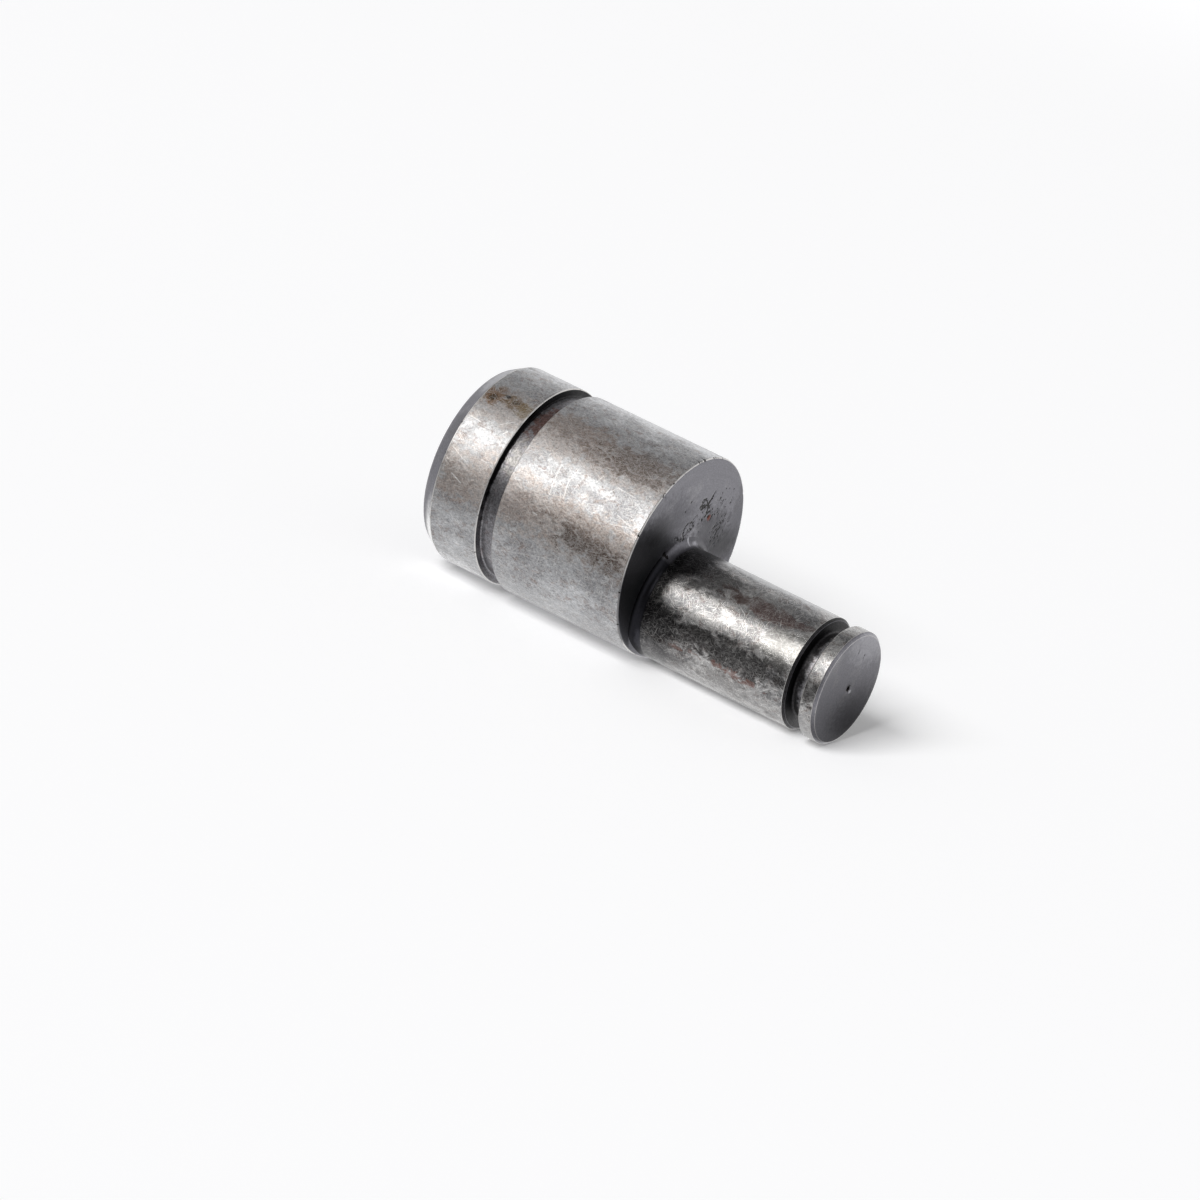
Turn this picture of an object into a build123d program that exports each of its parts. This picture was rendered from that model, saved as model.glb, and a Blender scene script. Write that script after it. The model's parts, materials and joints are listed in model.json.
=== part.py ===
from build123d import *

import os
from math import radians, tan

# Eccentric pin: one piece of steel, turned from bar on two parallel axes. The main journal
# leads in with a taper and carries a shallow groove. The small journal stands out of its
# shoulder on an axis below the main one, so that both journals share their lowest line,
# and ends in a land behind a deep groove for a retaining ring.
#
# Millimetres. The origin is on the main axis, in the plane of the main journal's end face.
# +X runs along that axis towards the small journal, and +Z is up.

# Main journal
main_diameter = 25.0
main_length = 28.8        # end face to shoulder
taper_angle = 30.0        # degrees from the axis
taper_depth = 1.0         # how far the taper goes in at the end face
shoulder_break = 0.25     # chamfer round the shoulder's rim

# Groove round the main journal
collar_length = 8.3       # end face to groove
main_groove_width = 2.3
main_groove_depth = 1.0
main_groove_corner = 0.2  # radius where its walls meet its floor
main_groove_break = 0.1   # chamfer on both of its rims

# Small journal
pin_diameter = 14.0
pin_length = 25.3         # shoulder to tip
root_radius = 1.0         # fillet where it stands on the shoulder
tip_chamfer = 0.35

# Retaining groove round the small journal
land_length = 2.1         # groove to tip
pin_groove_width = 2.0
pin_groove_depth = 1.75
pin_groove_corner = 0.25  # radius where its walls meet its floor
pin_groove_break = 0.3    # chamfer on the journal's rim
land_break = 0.15         # chamfer on the land's rim

# Centre mark in the tip
mark_diameter = 0.6
mark_depth = 0.25

main_radius = main_diameter / 2
pin_radius = pin_diameter / 2
eccentricity = main_radius - pin_radius
shoulder = main_length
tip = shoulder + pin_length

main_axis = Axis((0, 0, 0), (1, 0, 0))
pin_axis = Axis((0, 0, -eccentricity), (1, 0, 0))

# Where the small journal and its fillet run out over the shoulder's rim, they fill the
# rim's chamfer. They start this far under the shoulder, inside the chamfer.
sink = 0.8 * shoulder_break


def turn(outline, axis):
    """Solid turned about an axis along X. A corner is (x, distance from the axis[, fillet radius])."""
    height = axis.position.Z
    corners = [(x, height + distance) for x, distance, *_ in outline]
    radii = [sum(rest) for _, _, *rest in outline]
    with BuildPart() as piece:
        with BuildSketch(Plane.XZ):
            with BuildLine():
                FilletPolyline(*corners, radius=radii, close=True)
            make_face()
        revolve(axis=axis)
    return piece.part


def groove(axis, radius, start, width, depth, corner, breaks):
    """Ring that a groove takes out of a journal, with its corner radius and its two rims' chamfers."""
    end = start + width
    near, far = breaks
    over = depth  # how far the ring stands clear of the journal
    outline = [
        (start - near - over, radius + over),
        (start, radius - near),
        (start, radius - depth, corner),
        (end, radius - depth, corner),
        (end, radius - far),
        (end + far + over, radius + over),
    ]
    return turn(outline, axis)


def main_journal():
    """Main journal with its taper, its shoulder and its groove."""
    outline = [
        (0, 0),
        (0, main_radius - taper_depth),
        (taper_depth / tan(radians(taper_angle)), main_radius),
        (shoulder - shoulder_break, main_radius),
        (shoulder, main_radius - shoulder_break),
        (shoulder, 0),
    ]
    ring = groove(
        main_axis, main_radius, collar_length, main_groove_width, main_groove_depth,
        main_groove_corner, (main_groove_break, main_groove_break),
    )
    return turn(outline, main_axis) - ring


def small_journal():
    """Small journal with its tip chamfer, its centre mark and its retaining groove.

    Under the fillet its root draws in a little, to start inside the rim's chamfer.
    """
    outline = [
        (shoulder - sink, 0),
        (shoulder - sink, pin_radius - shoulder_break / 2),
        (shoulder + root_radius, pin_radius),
        (tip - tip_chamfer, pin_radius),
        (tip, pin_radius - tip_chamfer),
        (tip, mark_diameter / 2),
        (tip - mark_depth, 0),
    ]
    ring = groove(
        pin_axis, pin_radius, tip - land_length - pin_groove_width, pin_groove_width, pin_groove_depth,
        pin_groove_corner, (pin_groove_break, land_break),
    )
    return turn(outline, pin_axis) - ring


def root_fillet():
    """Fillet round the small journal's root, cut off where it runs out over the shoulder's rim."""
    start, end = shoulder - sink, shoulder + root_radius
    inner, outer = pin_radius - root_radius / 2, pin_radius + root_radius
    collar = turn([(start, inner), (start, outer), (end, outer), (end, inner)], pin_axis)
    nose = Pos(end, 0, -eccentricity) * Rot(0, 90, 0) * Torus(outer, root_radius)
    rim = main_radius - sink
    bar = turn([(start, 0), (start, rim), (end, rim), (end, 0)], main_axis)
    return (collar - nose) & bar


eccentric_pin = main_journal() + root_fillet() + small_journal()
eccentric_pin.label = "eccentric_pin"

os.makedirs("parts", exist_ok=True)
export_step(eccentric_pin, "parts/eccentric_pin.step")
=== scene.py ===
"""Looks of an eccentric pin: one piece of steel, turned, ground, black-oxided and then worn bright."""

import json
import logging
import math
from collections.abc import Iterable
from dataclasses import dataclass, field, replace
from enum import IntEnum, StrEnum
from typing import Any, NamedTuple

import bpy
import numpy as np
from mathutils import Matrix, Vector


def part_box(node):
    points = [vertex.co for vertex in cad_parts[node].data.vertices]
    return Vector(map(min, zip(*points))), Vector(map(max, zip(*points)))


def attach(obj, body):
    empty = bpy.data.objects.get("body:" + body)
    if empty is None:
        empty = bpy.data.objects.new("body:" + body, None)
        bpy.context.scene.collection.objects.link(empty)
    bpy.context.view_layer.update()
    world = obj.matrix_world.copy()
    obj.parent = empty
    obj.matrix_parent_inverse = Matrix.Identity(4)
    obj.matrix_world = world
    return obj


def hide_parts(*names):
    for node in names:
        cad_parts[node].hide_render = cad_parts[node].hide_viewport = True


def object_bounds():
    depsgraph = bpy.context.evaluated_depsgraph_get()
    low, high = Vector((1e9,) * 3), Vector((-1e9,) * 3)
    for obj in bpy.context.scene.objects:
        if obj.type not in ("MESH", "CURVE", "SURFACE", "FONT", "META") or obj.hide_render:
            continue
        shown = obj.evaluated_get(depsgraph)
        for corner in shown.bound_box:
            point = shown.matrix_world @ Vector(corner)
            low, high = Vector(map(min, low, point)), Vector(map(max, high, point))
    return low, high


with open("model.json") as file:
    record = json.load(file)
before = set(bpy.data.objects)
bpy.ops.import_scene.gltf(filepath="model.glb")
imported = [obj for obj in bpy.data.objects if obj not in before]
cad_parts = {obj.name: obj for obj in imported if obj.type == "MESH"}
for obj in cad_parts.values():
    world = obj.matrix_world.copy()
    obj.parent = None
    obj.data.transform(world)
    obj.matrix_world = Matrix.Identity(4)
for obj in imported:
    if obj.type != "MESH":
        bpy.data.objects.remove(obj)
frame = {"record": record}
CAD_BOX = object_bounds()

NODE = "eccentric_pin"
BODY = "root"
MM = 0.001                 # one millimetre in Blender's metres
EVERYWHERE = 1e6           # millimetres: a size that sets no limit
TINY = 1e-12               # keeps a length from being nought
WHITE = (1.0, 1.0, 1.0, 1.0)
UNROLLED = "unrolled"      # attribute: millimetres along the axis, round the journal, and from the axis
PITTED = "pitted"          # attribute: 1 in a pit or a nick, 0 on sound metal

log = logging.getLogger("eccentric_pin")

Socket = bpy.types.NodeSocket
Tree = bpy.types.NodeTree
Colour = tuple[float, float, float, float]
Place = tuple[float, float, float]


def linear(code: str) -> Colour:
    """Turn an sRGB hex code into a linear colour.

    Args:
        code: six hex digits, with or without a leading #.

    Returns:
        Linear red, green and blue, and an alpha of 1.
    """
    digits = code.lstrip("#")
    shares = [int(digits[k:k + 2], 16) / 255 for k in (0, 2, 4)]
    return (*[c / 12.92 if c <= 0.04045 else ((c + 0.055) / 1.055) ** 2.4 for c in shares], 1.0)


def add_node(
    tree: Tree, kind: str, inputs: dict[Any, Any] | None = None, out: int | str = 0, **settings: Any,
) -> Socket | None:
    """Add a shader node with its settings, set or link its inputs, and give one of its outputs.

    Args:
        tree: node tree that takes the node.
        kind: the node's type, without its ShaderNode prefix.
        inputs: a value, or an output socket to link, for each input by name or number.
        out: the output to give, by name or number.
        settings: properties of the node itself.

    Returns:
        The output's socket, or None from a node that has no outputs.
    """
    node = tree.nodes.new("ShaderNode" + kind)
    for name, value in settings.items():
        setattr(node, name, value)
    for key, value in (inputs or {}).items():
        if isinstance(value, Socket):
            tree.links.new(value, node.inputs[key])
        else:
            node.inputs[key].default_value = value
    return node.outputs[out] if node.outputs else None


def blank(owner: bpy.types.Material | bpy.types.World) -> Tree:
    """Give a material or a world an empty node tree.

    Args:
        owner: the material or the world.

    Returns:
        Its node tree.
    """
    owner.use_nodes = True
    owner.node_tree.nodes.clear()
    return owner.node_tree


def put(name: str, data: bpy.types.ID) -> bpy.types.Object:
    """Put an object in the scene.

    Args:
        name: the object's name.
        data: its mesh, lamp or camera.

    Returns:
        The object.
    """
    made = bpy.data.objects.new(name, data)
    bpy.context.scene.collection.objects.link(made)
    return made


# --------------------------------------------------------------------------------------------
# Patterns
# --------------------------------------------------------------------------------------------


@dataclass(frozen=True)
class Mottle:
    """Noise whose grains have a real size.

    size is one grain along each axis, in millimetres. spread holds the two values of the
    noise, which is about 0.5 on average, that give the two shades.
    """

    size: Place
    spread: tuple[float, float] = (0.3, 0.7)
    shades: tuple[float, float] = (0.0, 1.0)
    turn: float = 0.0                   # degrees about the third axis
    detail: float = 2.0                 # octaves of finer grains on top
    rough: float = 0.5                  # how strong the finer octaves are
    warp: float = 0.0                   # how far the grains are bent

    def lay(self, tree: Tree, place: Socket) -> Socket:
        """Lay the mottle on a surface.

        Args:
            tree: node tree that takes the nodes.
            place: each point's place in millimetres.

        Returns:
            Output socket that goes from the first shade to the second.
        """
        laid = add_node(
            tree, "Mapping",
            {"Vector": place, "Rotation": (0, 0, math.radians(self.turn)), "Scale": self.size},
            vector_type="TEXTURE",
        )
        noise = add_node(
            tree, "TexNoise",
            {"Vector": laid, "Scale": 1.0, "Detail": self.detail, "Roughness": self.rough,
             "Distortion": self.warp},
        )
        (start, end), (first, second) = self.spread, self.shades
        return add_node(
            tree, "MapRange",
            {"Value": noise, "From Min": start, "From Max": end, "To Min": first, "To Max": second},
            interpolation_type="SMOOTHSTEP",
        )


@dataclass(frozen=True)
class Patch:
    """Soft-edged patch, such as a stain, a stretch where more of the oxide is left, a painted reflection and
    a stretch of painted shade.

    On a journal, centre and size run along the axis, round the journal and outwards. On a
    face they run along X, Y and Z. All are in millimetres.
    """

    centre: Place
    size: Place
    colour: str
    strength: float = 1.0
    rag: float = 0.8                    # how ragged its edge is
    core: float = 0.5                   # share of its size where it is at full strength
    end: float = 1.1                    # share of its size where it has faded out

    def mask(self, tree: Tree, place: Socket, noise: Socket) -> Socket:
        """Build the patch's mask.

        Args:
            tree: node tree that takes the nodes.
            place: each point's place in millimetres.
            noise: a mottle that makes the patch's edge ragged.

        Returns:
            Output socket with the strength inside the patch, and 0 outside.
        """
        half = tuple(full / 2 for full in self.size)
        moved = add_node(tree, "VectorMath", {0: place, 1: self.centre}, operation="SUBTRACT")
        scaled = add_node(tree, "VectorMath", {0: moved, 1: half}, operation="DIVIDE")
        far = add_node(tree, "VectorMath", {0: scaled}, out="Value", operation="LENGTH")
        ragged = add_node(tree, "Math", {0: noise, 1: self.rag, 2: -self.rag / 2}, operation="MULTIPLY_ADD")
        edge = add_node(tree, "Math", {0: far, 1: ragged}, operation="ADD")
        return add_node(
            tree, "MapRange",
            {"Value": edge, "From Min": self.core, "From Max": self.end,
             "To Min": self.strength, "To Max": 0},
            interpolation_type="SMOOTHSTEP",
        )


@dataclass(frozen=True)
class Scratch:
    """Straight scratch on a journal, from one place to another. Sizes are in millimetres."""

    start: Place                        # along the axis, round the journal and outwards
    end: Place
    width: float = 0.16
    strength: float = 0.8

    def mask(self, tree: Tree, place: Socket) -> Socket:
        """Build the scratch's mask.

        Args:
            tree: node tree that takes the nodes.
            place: each point's unrolled place on the journal.

        Returns:
            Output socket with the strength along the scratch's middle, and 0 beside it.
        """
        first, last = Vector(self.start), Vector(self.end)
        run = (last - first).length
        way = (last - first) / run
        moved = add_node(tree, "VectorMath", {0: place, 1: first}, operation="SUBTRACT")
        along = add_node(tree, "VectorMath", {0: moved, 1: way}, out="Value", operation="DOT_PRODUCT")
        held = add_node(tree, "MapRange", {"Value": along, "From Max": run, "To Max": run})
        foot = add_node(tree, "VectorMath", {0: way, "Scale": held}, operation="SCALE")
        away = add_node(tree, "VectorMath", {0: moved, 1: foot}, out="Value", operation="DISTANCE")
        return add_node(
            tree, "MapRange", {"Value": away, "From Max": self.width, "To Min": self.strength, "To Max": 0},
            interpolation_type="SMOOTHSTEP",
        )


def on_journal(radius: float, x: float, theta: float) -> Place:
    """Give the unrolled place of a point on a journal.

    Args:
        radius: the journal's radius in millimetres.
        x: millimetres from the end face.
        theta: degrees up from the front.

    Returns:
        Millimetres along the axis, round the journal and from the axis.
    """
    return (x, math.radians(theta) * radius, radius)


class Laid(StrEnum):
    """How a coat of colour mixes with what is under it, by Blender's names."""

    OVER = "MIX"
    SHADING = "MULTIPLY"


@dataclass(frozen=True)
class Coat:
    """Colour laid over a surface, and how much of it shows."""

    colour: Socket | Colour
    share: Socket | float = 1.0
    laid: Laid = Laid.OVER


def paint(tree: Tree, ground: Colour, coats: Iterable[Coat]) -> Socket | Colour:
    """Lay coats of colour over a ground, one after another.

    Args:
        tree: node tree that takes the nodes.
        ground: the colour under all of them.
        coats: the coats, from the lowest to the highest.

    Returns:
        The colour that shows.
    """
    colour: Socket | Colour = ground
    for coat in coats:
        colour = add_node(
            tree, "Mix", {0: coat.share, 6: colour, 7: coat.colour}, out=2, data_type="RGBA",
            blend_type=coat.laid,
        )
    return colour


def relief(tree: Tree, depth: float, heights: Iterable[tuple[Socket, float]]) -> Socket:
    """Add up several patterns into one relief.

    Args:
        tree: node tree that takes the nodes.
        depth: millimetres that a height of 1 stands for.
        heights: each pattern, and how far it stands out.

    Returns:
        Output socket with the normal of the surface that they raise.
    """
    total: Socket | float = 0.0
    for height, share in heights:
        total = add_node(tree, "Math", {0: height, 1: share, 2: total}, operation="MULTIPLY_ADD")
    return add_node(tree, "Bump", {"Distance": depth * MM, "Height": total})


# --------------------------------------------------------------------------------------------
# Finishes
# --------------------------------------------------------------------------------------------


class Finish(IntEnum):
    """Finish of a face, and its place in the piece's list of materials."""

    MAIN_JOURNAL = 0
    SMALL_JOURNAL = 1
    OXIDE = 2
    GROOVE = 3
    EDGE = 4
    ROOT = 5


class Canvas(NamedTuple):
    """Material that a finish is laid on. Places are in millimetres."""

    tree: Tree
    space: Socket                       # each point's place in the frame
    unrolled: Socket                    # each point's place on the unrolled journal


@dataclass(frozen=True)
class Look:
    """What a finish lays on the steel."""

    bare: Socket                        # 1 where the film is gone, 0 where it is whole
    coats: list[Coat]                   # over the film and the bare metal, from the lowest to the highest
    heights: tuple[tuple[Socket, float], ...] = ()     # patterns of its relief, and how far each stands out


@dataclass(frozen=True)
class Steel:
    """Steel under a film of black oxide. Its kinds say how the film was worn, and what else marks it."""

    name: str                           # of the material
    film: str = "#7B7A80"
    clean: str = "#868589"              # where the film is gone
    pit: str = "#161414"                # inside a pit
    pit_edge: tuple[float, float] = (0.35, 0.6)    # how pitted it is where that starts to show, and is whole
    worn: tuple[float, float] = (0.5, 0.75)        # where a mottle starts to take the film, and has taken it
    roughness: tuple[float, float] = (0.26, 0.36)  # where the film is gone, and where it is whole
    depth: float = 0.006                # millimetres of relief
    patches: tuple[Patch, ...] = ()

    def make(self) -> bpy.types.Material:
        """Build the material.

        Returns:
            The material.
        """
        material = bpy.data.materials.new(self.name)
        tree = blank(material)
        where = add_node(tree, "TexCoord", out="Object")
        space = add_node(tree, "VectorMath", {0: where, "Scale": 1 / MM}, operation="SCALE")
        canvas = Canvas(tree, space, add_node(tree, "Attribute", out="Vector", attribute_name=UNROLLED))
        look = self.look(canvas)
        coats = [Coat(linear(self.clean), look.bare), *look.coats, Coat(linear(self.pit), self.pits(canvas))]
        glossy, dull = self.roughness
        gloss = add_node(tree, "MapRange", {"Value": look.bare, "To Min": dull, "To Max": glossy})
        inputs = {"Metallic": 1.0, "Base Color": paint(tree, linear(self.film), coats), "Roughness": gloss}
        if look.heights:
            inputs["Normal"] = relief(tree, self.depth, look.heights)
        add_node(tree, "OutputMaterial", {"Surface": add_node(tree, "BsdfPrincipled", inputs)})
        return material

    def look(self, canvas: Canvas) -> Look:
        """Lay down the colours and the relief.

        Args:
            canvas: the material.

        Returns:
            What the finish lays on the steel.
        """
        raise NotImplementedError

    def pits(self, canvas: Canvas) -> Socket:
        """Make the pits' edges ragged.

        Args:
            canvas: the material.

        Returns:
            Output socket that is 1 in a pit.
        """
        tree, space, _ = canvas
        pitted = add_node(tree, "Attribute", out="Fac", attribute_name=PITTED)
        ragged = Mottle((0.22, 0.22, 0.22), shades=(-0.35, 0.35), detail=1).lay(tree, space)
        deep = add_node(tree, "Math", {0: pitted, 1: ragged}, operation="ADD")
        start, end = self.pit_edge
        return add_node(
            tree, "MapRange", {"Value": deep, "From Min": start, "From Max": end},
            interpolation_type="SMOOTHSTEP",
        )

    def patch_coats(self, canvas: Canvas, noise: Socket) -> list[Coat]:
        """Lay down the patches, with edges made ragged by a mottle."""
        tree, space, _ = canvas
        return [Coat(linear(patch.colour), patch.mask(tree, space, noise)) for patch in self.patches]


@dataclass(frozen=True)
class GroundSteel(Steel):
    """Ground journal whose black oxide has worn through in clouds.

    Ground steel gives the eye a satin metal that mirrors light in streaks. What is left of the
    oxide clouds it grey and brown, and handling has covered it with short bright scratches.
    """

    film: str = "#9C9C9F"               # grey where the oxide is thin
    clean: str = "#B6B7BA"
    brown: str = "#7A675E"              # where the oxide has turned
    bright: str = "#E4E2E0"             # fresh metal in a short scratch
    cut: str = "#F6F5F4"                # fresh metal in a long scratch
    pit: str = "#1E1B1B"
    worn: tuple[float, float] = (0.38, 0.62)
    roughness: tuple[float, float] = (0.35, 0.46)
    depth: float = 0.010
    spotty: tuple[float, float] = (0.88, 1.10)     # how dark and how light its spots are
    grainy: tuple[float, float] = (0.74, 1.22)     # its grain
    lined: tuple[float, float] = (0.95, 1.04)      # and its grinding lines
    marked: tuple[float, float] = (0.0, 0.5)       # how much marks show under the tints and painted light, and over them
    marks: tuple[tuple[float, float], ...] = (     # short scratches: millimetres and degrees of each lot
        (1.1, 42), (1.7, -30), (0.9, 80), (1.3, 12), (1.0, -64),
    )
    between: float = 0.45               # how much of a tint is left between its fibres
    cloudy: tuple[float, float] = (6.0, 0.68)      # octaves of the clouds, and how strong the finer ones are
    tints_and_painted_light: tuple[Patch, ...] = ()       # worn into fibres: oxide tints, painted reflections and painted shade
    whole_patches: tuple[Patch, ...] = ()      # whole: stains, and painted shade
    scratches: tuple[Scratch, ...] = ()

    def look(self, canvas: Canvas) -> Look:
        """Lay down the clouds, the tints, painted reflections and painted shade, the stains, the grain and
        the scratches.

        Args:
            canvas: the material.

        Returns:
            What the finish lays on the steel.
        """
        tree, space, unrolled = canvas
        detail, rough = self.cloudy
        bare = Mottle((6.0, 4.0, 4.0), self.worn, detail=detail, rough=rough, warp=0.4).lay(tree, space)
        spots = Mottle((1.3, 0.9, 0.9), detail=detail, rough=rough, warp=0.5).lay(tree, space)
        brown = Mottle((1.1, 0.8, 0.8), (0.5, 0.66), (0.0, 0.6), detail=5, rough=0.7, warp=0.8)
        fibres = Mottle(
            (0.5, 0.16, 0.16), (0.36, 0.62), (self.between, 1.0), detail=3, rough=0.6, warp=1.2,
        ).lay(tree, space)
        grain = Mottle((0.30, 0.22, 0.22), rough=0.7).lay(tree, space)
        # real grinding lines are 5 to 10 micrometres apart: drawn at 0.1 mm, so that they show
        lines = Mottle((1.6, 0.1, EVERYWHERE), (0.35, 0.65), detail=1).lay(tree, unrolled)
        marks: Socket | float = 0.0
        for length, turn in self.marks:
            lot = Mottle((length, 0.085, EVERYWHERE), (0.60, 0.73), turn=turn, detail=1, warp=0.8)
            marks = add_node(tree, "Math", {0: marks, 1: lot.lay(tree, unrolled)}, operation="MAXIMUM")
        under, over = (
            add_node(tree, "Math", {0: marks, 1: share}, operation="MULTIPLY") for share in self.marked
        )

        coats = [Coat(linear(self.brown), brown.lay(tree, space)), Coat(linear(self.bright), under)]
        # these patches hold oxide tints, painted reflections and painted shade
        for tint in self.tints_and_painted_light:
            mask = tint.mask(tree, unrolled, spots)
            worn = add_node(tree, "Math", {0: mask, 1: fibres}, operation="MULTIPLY")
            coats.append(Coat(linear(tint.colour), worn))
        # whole patches: stains, and painted shade
        coats += [Coat(linear(whole_patch.colour), whole_patch.mask(tree, unrolled, spots)) for whole_patch in self.whole_patches]
        for shade, dark, light in ((spots, *self.spotty), (grain, *self.grainy), (lines, *self.lined)):
            shading = add_node(tree, "MapRange", {"Value": shade, "To Min": dark, "To Max": light})
            coats.append(Coat(shading, laid=Laid.SHADING))
        coats.append(Coat(linear(self.bright), over))
        coats += [Coat(linear(self.cut), scratch.mask(tree, unrolled)) for scratch in self.scratches]
        return Look(bare, coats, ((grain, 0.3), (marks, -0.5), (lines, 0.2), (fibres, 0.5)))


@dataclass(frozen=True)
class BlackOxide(Steel):
    """Black oxide on turned steel, as it comes from the bath.

    The magnetite film gives the eye a satin near-black that still mirrors light at a slant,
    with the tool's fine rings showing through. It is rubbed thin here and there.
    """

    rust: str = "#6B4A3E"
    rusty: float = 0.0                  # how much rust shows in the spots
    pitch: float = 0.16                 # millimetres between the tool's rings
    rings: float = 0.03                 # how much the rings lighten and darken it
    speckle: float = 0.12               # how much its grain does

    def look(self, canvas: Canvas) -> Look:
        """Lay down the rust, the patches, the grain and the tool's rings.

        Args:
            canvas: the material.

        Returns:
            What the finish lays on the steel.
        """
        tree, space, unrolled = canvas
        bare = Mottle((2.5, 2.5, 2.5), self.worn, detail=5, rough=0.6).lay(tree, space)
        spots = Mottle((0.9, 0.7, 0.7), detail=4, rough=0.65).lay(tree, space)
        rust = Mottle((0.8, 0.6, 0.6), (0.5, 0.64), (0.0, self.rusty), detail=4, rough=0.65)
        grain = Mottle((0.22, 0.22, 0.22), rough=0.6).lay(tree, space)
        rings = Mottle((self.pitch, 40.0, self.pitch), (0.35, 0.65), detail=1).lay(tree, unrolled)
        coats = [Coat(linear(self.rust), rust.lay(tree, space)), *self.patch_coats(canvas, spots)]
        for shade, swing in ((grain, self.speckle), (rings, self.rings)):
            shading = add_node(tree, "MapRange", {"Value": shade, "To Min": 1 - swing, "To Max": 1 + swing})
            coats.append(Coat(shading, laid=Laid.SHADING))
        return Look(bare, coats, ((grain, 0.5), (rings, 0.3)))


@dataclass(frozen=True)
class RubbedEdge(Steel):
    """Edge whose oxide has been rubbed off by handling.

    Bare steel on a small radius gives the eye a thin bright line, nicked here and there.
    """

    film: str = "#6A6868"
    clean: str = "#D6D4D2"
    pit: str = "#1A1818"
    worn: tuple[float, float] = (0.30, 0.44)
    roughness: tuple[float, float] = (0.36, 0.36)

    def look(self, canvas: Canvas) -> Look:
        """Lay down the wear and the patches, without a relief."""
        wear = Mottle((1.2, 1.2, 1.2), self.worn, detail=5, rough=0.6).lay(canvas.tree, canvas.space)
        return Look(wear, self.patch_coats(canvas, wear))


# --------------------------------------------------------------------------------------------
# The pin
# --------------------------------------------------------------------------------------------


@dataclass(frozen=True)
class Corner:
    """Corner of a turned outline, with the run that follows it. Sizes are in millimetres."""

    x: float
    radius: float
    soft: float = 0.04                  # radius that wear has given the corner
    run: Finish = Finish.OXIDE          # finish of the run that follows
    step: float = 1.0                   # longest stretch between two rings of that run
    edge: Finish = Finish.EDGE          # finish of the corner itself


@dataclass(frozen=True)
class Mar:
    """Pit, nick or dent. Sizes are in millimetres."""

    x: float
    y: float
    z: float
    size: float
    depth: float
    dark: float = 1.0                   # how dark it is, from 0 to 1


@dataclass(frozen=True)
class Cluster:
    """Pits scattered over a face, thickest in the middle. Sizes are in millimetres."""

    count: int
    y: float
    z: float
    wide: float
    high: float
    size: float
    depth: float

    def pits(self, x: float, draw: np.random.Generator) -> list[Mar]:
        """Scatter the pits.

        Args:
            x: the face's distance from the end face.
            draw: source of chance.

        Returns:
            The pits.
        """
        return [
            Mar(
                x, self.y + self.wide * draw.normal(), self.z + self.high * draw.normal(),
                self.size * draw.uniform(0.6, 1.2), self.depth * draw.uniform(0.5, 1.2),
                draw.uniform(0.4, 1.0),
            )
            for _ in range(self.count)
        ]


@dataclass(frozen=True)
class Crack:
    """Crack in a face, through points (y, z). Sizes are in millimetres."""

    points: tuple[tuple[float, float], ...]
    size: float = 0.13
    depth: float = 0.06
    dark: float = 0.9
    pitch: float = 0.15                 # from one pit of the crack to the next
    stray: float = 0.09                 # how far they stray from its line

    def pits(self, x: float, draw: np.random.Generator) -> list[Mar]:
        """Lay pits along the crack, closer than they are wide.

        Args:
            x: the face's distance from the end face.
            draw: source of chance.

        Returns:
            The pits.
        """
        line = np.array(self.points)
        runs = np.append(0, np.cumsum(np.linalg.norm(np.diff(line, axis=0), axis=1)))
        found = []
        for along in np.arange(0, runs[-1] + self.pitch, self.pitch):
            y, z = (np.interp(along, runs, line[:, k]) + self.stray * draw.normal() for k in (0, 1))
            found.append(Mar(
                x, float(y), float(z), self.size * draw.uniform(0.7, 1.3), self.depth,
                self.dark * draw.uniform(0.45, 1.0),
            ))
        return found


CLUSTERS = (
    Cluster(34, 2.3, 6.2, 0.75, 0.7, 0.22, 0.08),
    Cluster(24, 5.4, 6.3, 1.4, 0.8, 0.17, 0.06),
    Cluster(56, 6.7, 2.9, 0.9, 1.3, 0.18, 0.06),
    Cluster(24, 3.8, 4.8, 1.2, 0.8, 0.16, 0.05),
    Cluster(10, 1.2, 3.4, 1.5, 1.0, 0.12, 0.03),
    Cluster(16, -0.3, 3.5, 0.45, 0.5, 0.15, 0.05),
    Cluster(10, -1.3, 2.5, 0.5, 0.25, 0.16, 0.05),
)
CRACKS = (
    Crack(((3.6, 7.8), (3.3, 7.2), (3.0, 6.7), (2.6, 6.2), (2.0, 6.0), (1.4, 5.8)), 0.21, 0.08, 1.0),
    Crack(((1.7, 7.0), (1.5, 6.6), (1.0, 6.2)), 0.22, 0.07, 1.0),
    Crack(((3.1, 6.0), (2.7, 5.5), (3.3, 5.2)), 0.19, 0.06),
    Crack(((5.3, 7.5), (5.3, 7.1), (5.2, 6.5), (4.7, 6.5)), 0.13, 0.05, 0.8),
    Crack(((8.2, 6.4), (8.2, 5.9), (7.9, 5.7)), 0.16, 0.06),
    Crack(
        ((-0.7, 2.3), (-1.2, 2.9), (-1.4, 3.6), (-1.1, 4.2), (-0.5, 4.5), (0.3, 4.3), (0.6, 3.8), (0.2, 3.4)),
        0.17, 0.06, 1.0,
    ),
    Crack(((-3.1, 2.7), (-2.3, 2.6), (-1.6, 2.3), (-1.0, 2.3)), 0.15, 0.05, 0.9, 0.2, 0.13),
    Crack(((0.7, 5.1), (0.3, 4.8), (-0.1, 4.5)), 0.13, 0.05, 0.8),
    Crack(((0.0, 3.1), (-0.7, 3.1)), 0.13, 0.05, 0.8),
)
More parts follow.
